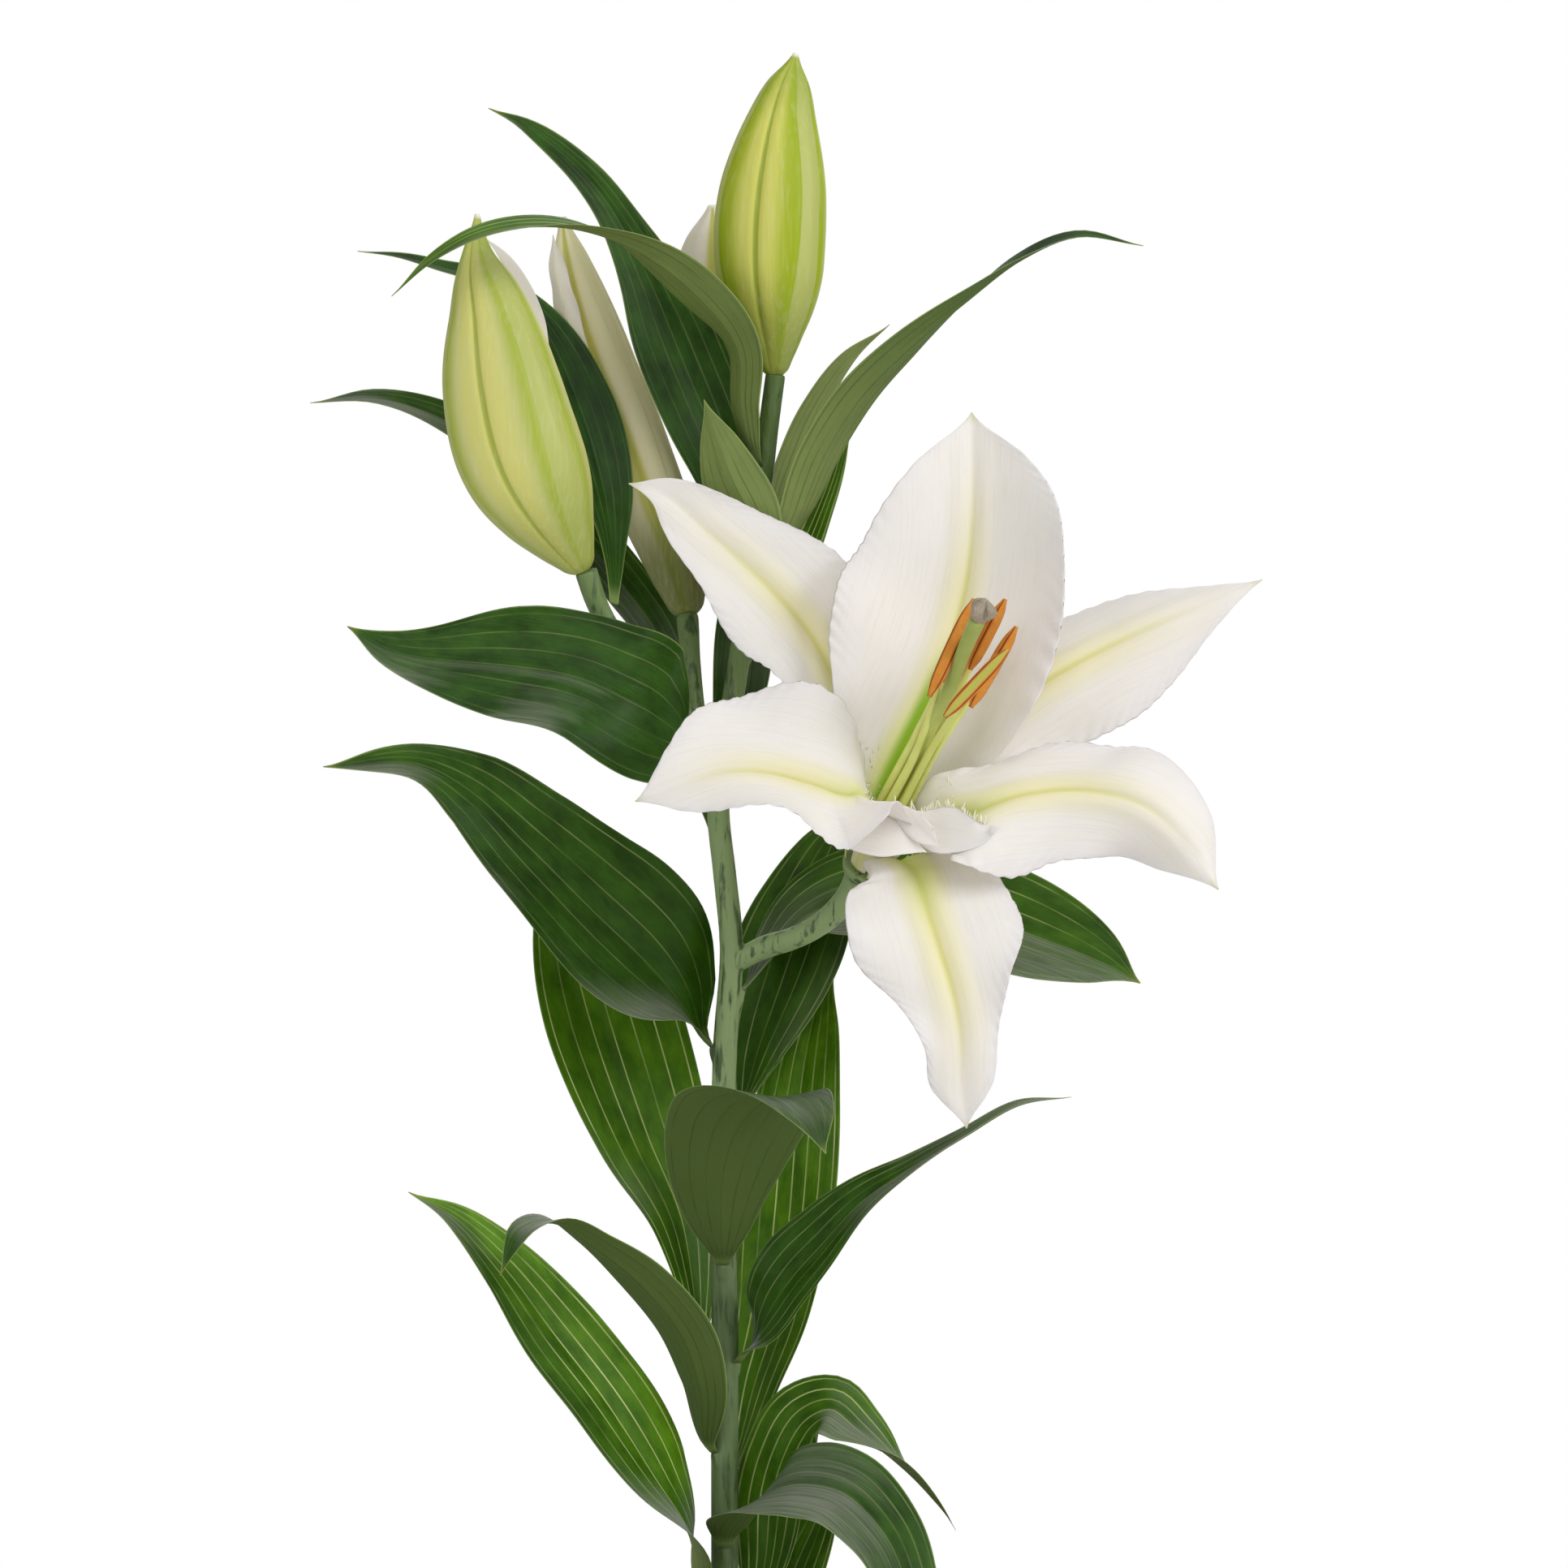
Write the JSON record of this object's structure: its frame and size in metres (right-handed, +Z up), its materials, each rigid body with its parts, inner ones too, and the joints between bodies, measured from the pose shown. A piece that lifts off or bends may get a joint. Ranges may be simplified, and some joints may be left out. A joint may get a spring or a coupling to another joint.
{
  "type": "potted oriental lily",
  "caption": "White oriental lily growing in a plain clay pot: leafy upright stem with an open bloom, closed buds and long pointed leaves.",
  "frame": {"origin": "centre of the pot's underside, on the surface that it stands on", "axes": "+Z up along the stem, -Y towards the onlooker of the picture, +X to the onlooker's right"},
  "size_m": [0.2817, 0.2047, 0.6632],
  "materials": {
    "terracotta": "matte",
    "soil": "matte",
    "bulb": "satin",
    "stem": "satin",
    "leaf": "satin",
    "tepal": "matte",
    "bud": "satin",
    "anther": "matte",
    "filament": "satin",
    "style": "satin",
    "stigma": "satin"
  },
  "bodies": {
    "root": {"anther_1": "anther", "anther_2": "anther", "anther_3": "anther", "anther_4": "anther", "anther_5": "anther", "anther_6": "anther", "bud_back": "bud", "bud_left": "bud", "bud_opening": "bud", "bud_top": "bud", "bulb": "bulb", "filament_1": "filament", "filament_2": "filament", "filament_3": "filament", "filament_4": "filament", "filament_5": "filament", "filament_6": "filament", "leaf_01": "leaf", "leaf_02": "leaf", "leaf_03": "leaf", "leaf_04": "leaf", "leaf_06": "leaf", "leaf_07": "leaf", "leaf_08": "leaf", "leaf_09": "leaf", "leaf_10": "leaf", "leaf_11": "leaf", "leaf_12": "leaf", "leaf_13": "leaf", "leaf_14": "leaf", "leaf_15": "leaf", "leaf_16": "leaf", "leaf_17": "leaf", "leaf_19": "leaf", "leaf_20": "leaf", "leaf_21": "leaf", "leaf_22": "leaf", "leaf_23": "leaf", "leaf_24": "leaf", "leaf_25": "leaf", "leaf_26": "leaf", "leaf_27": "leaf", "leaf_28": "leaf", "leaf_29": "leaf", "pistil": "style", "pot": "terracotta", "soil": "soil", "stem": "stem", "stigma": "stigma", "tepal_inner_left": "tepal", "tepal_inner_right": "tepal", "tepal_inner_top": "tepal", "tepal_outer_bottom": "tepal", "tepal_outer_left": "tepal", "tepal_outer_right": "tepal"}
  },
  "joints": []
}
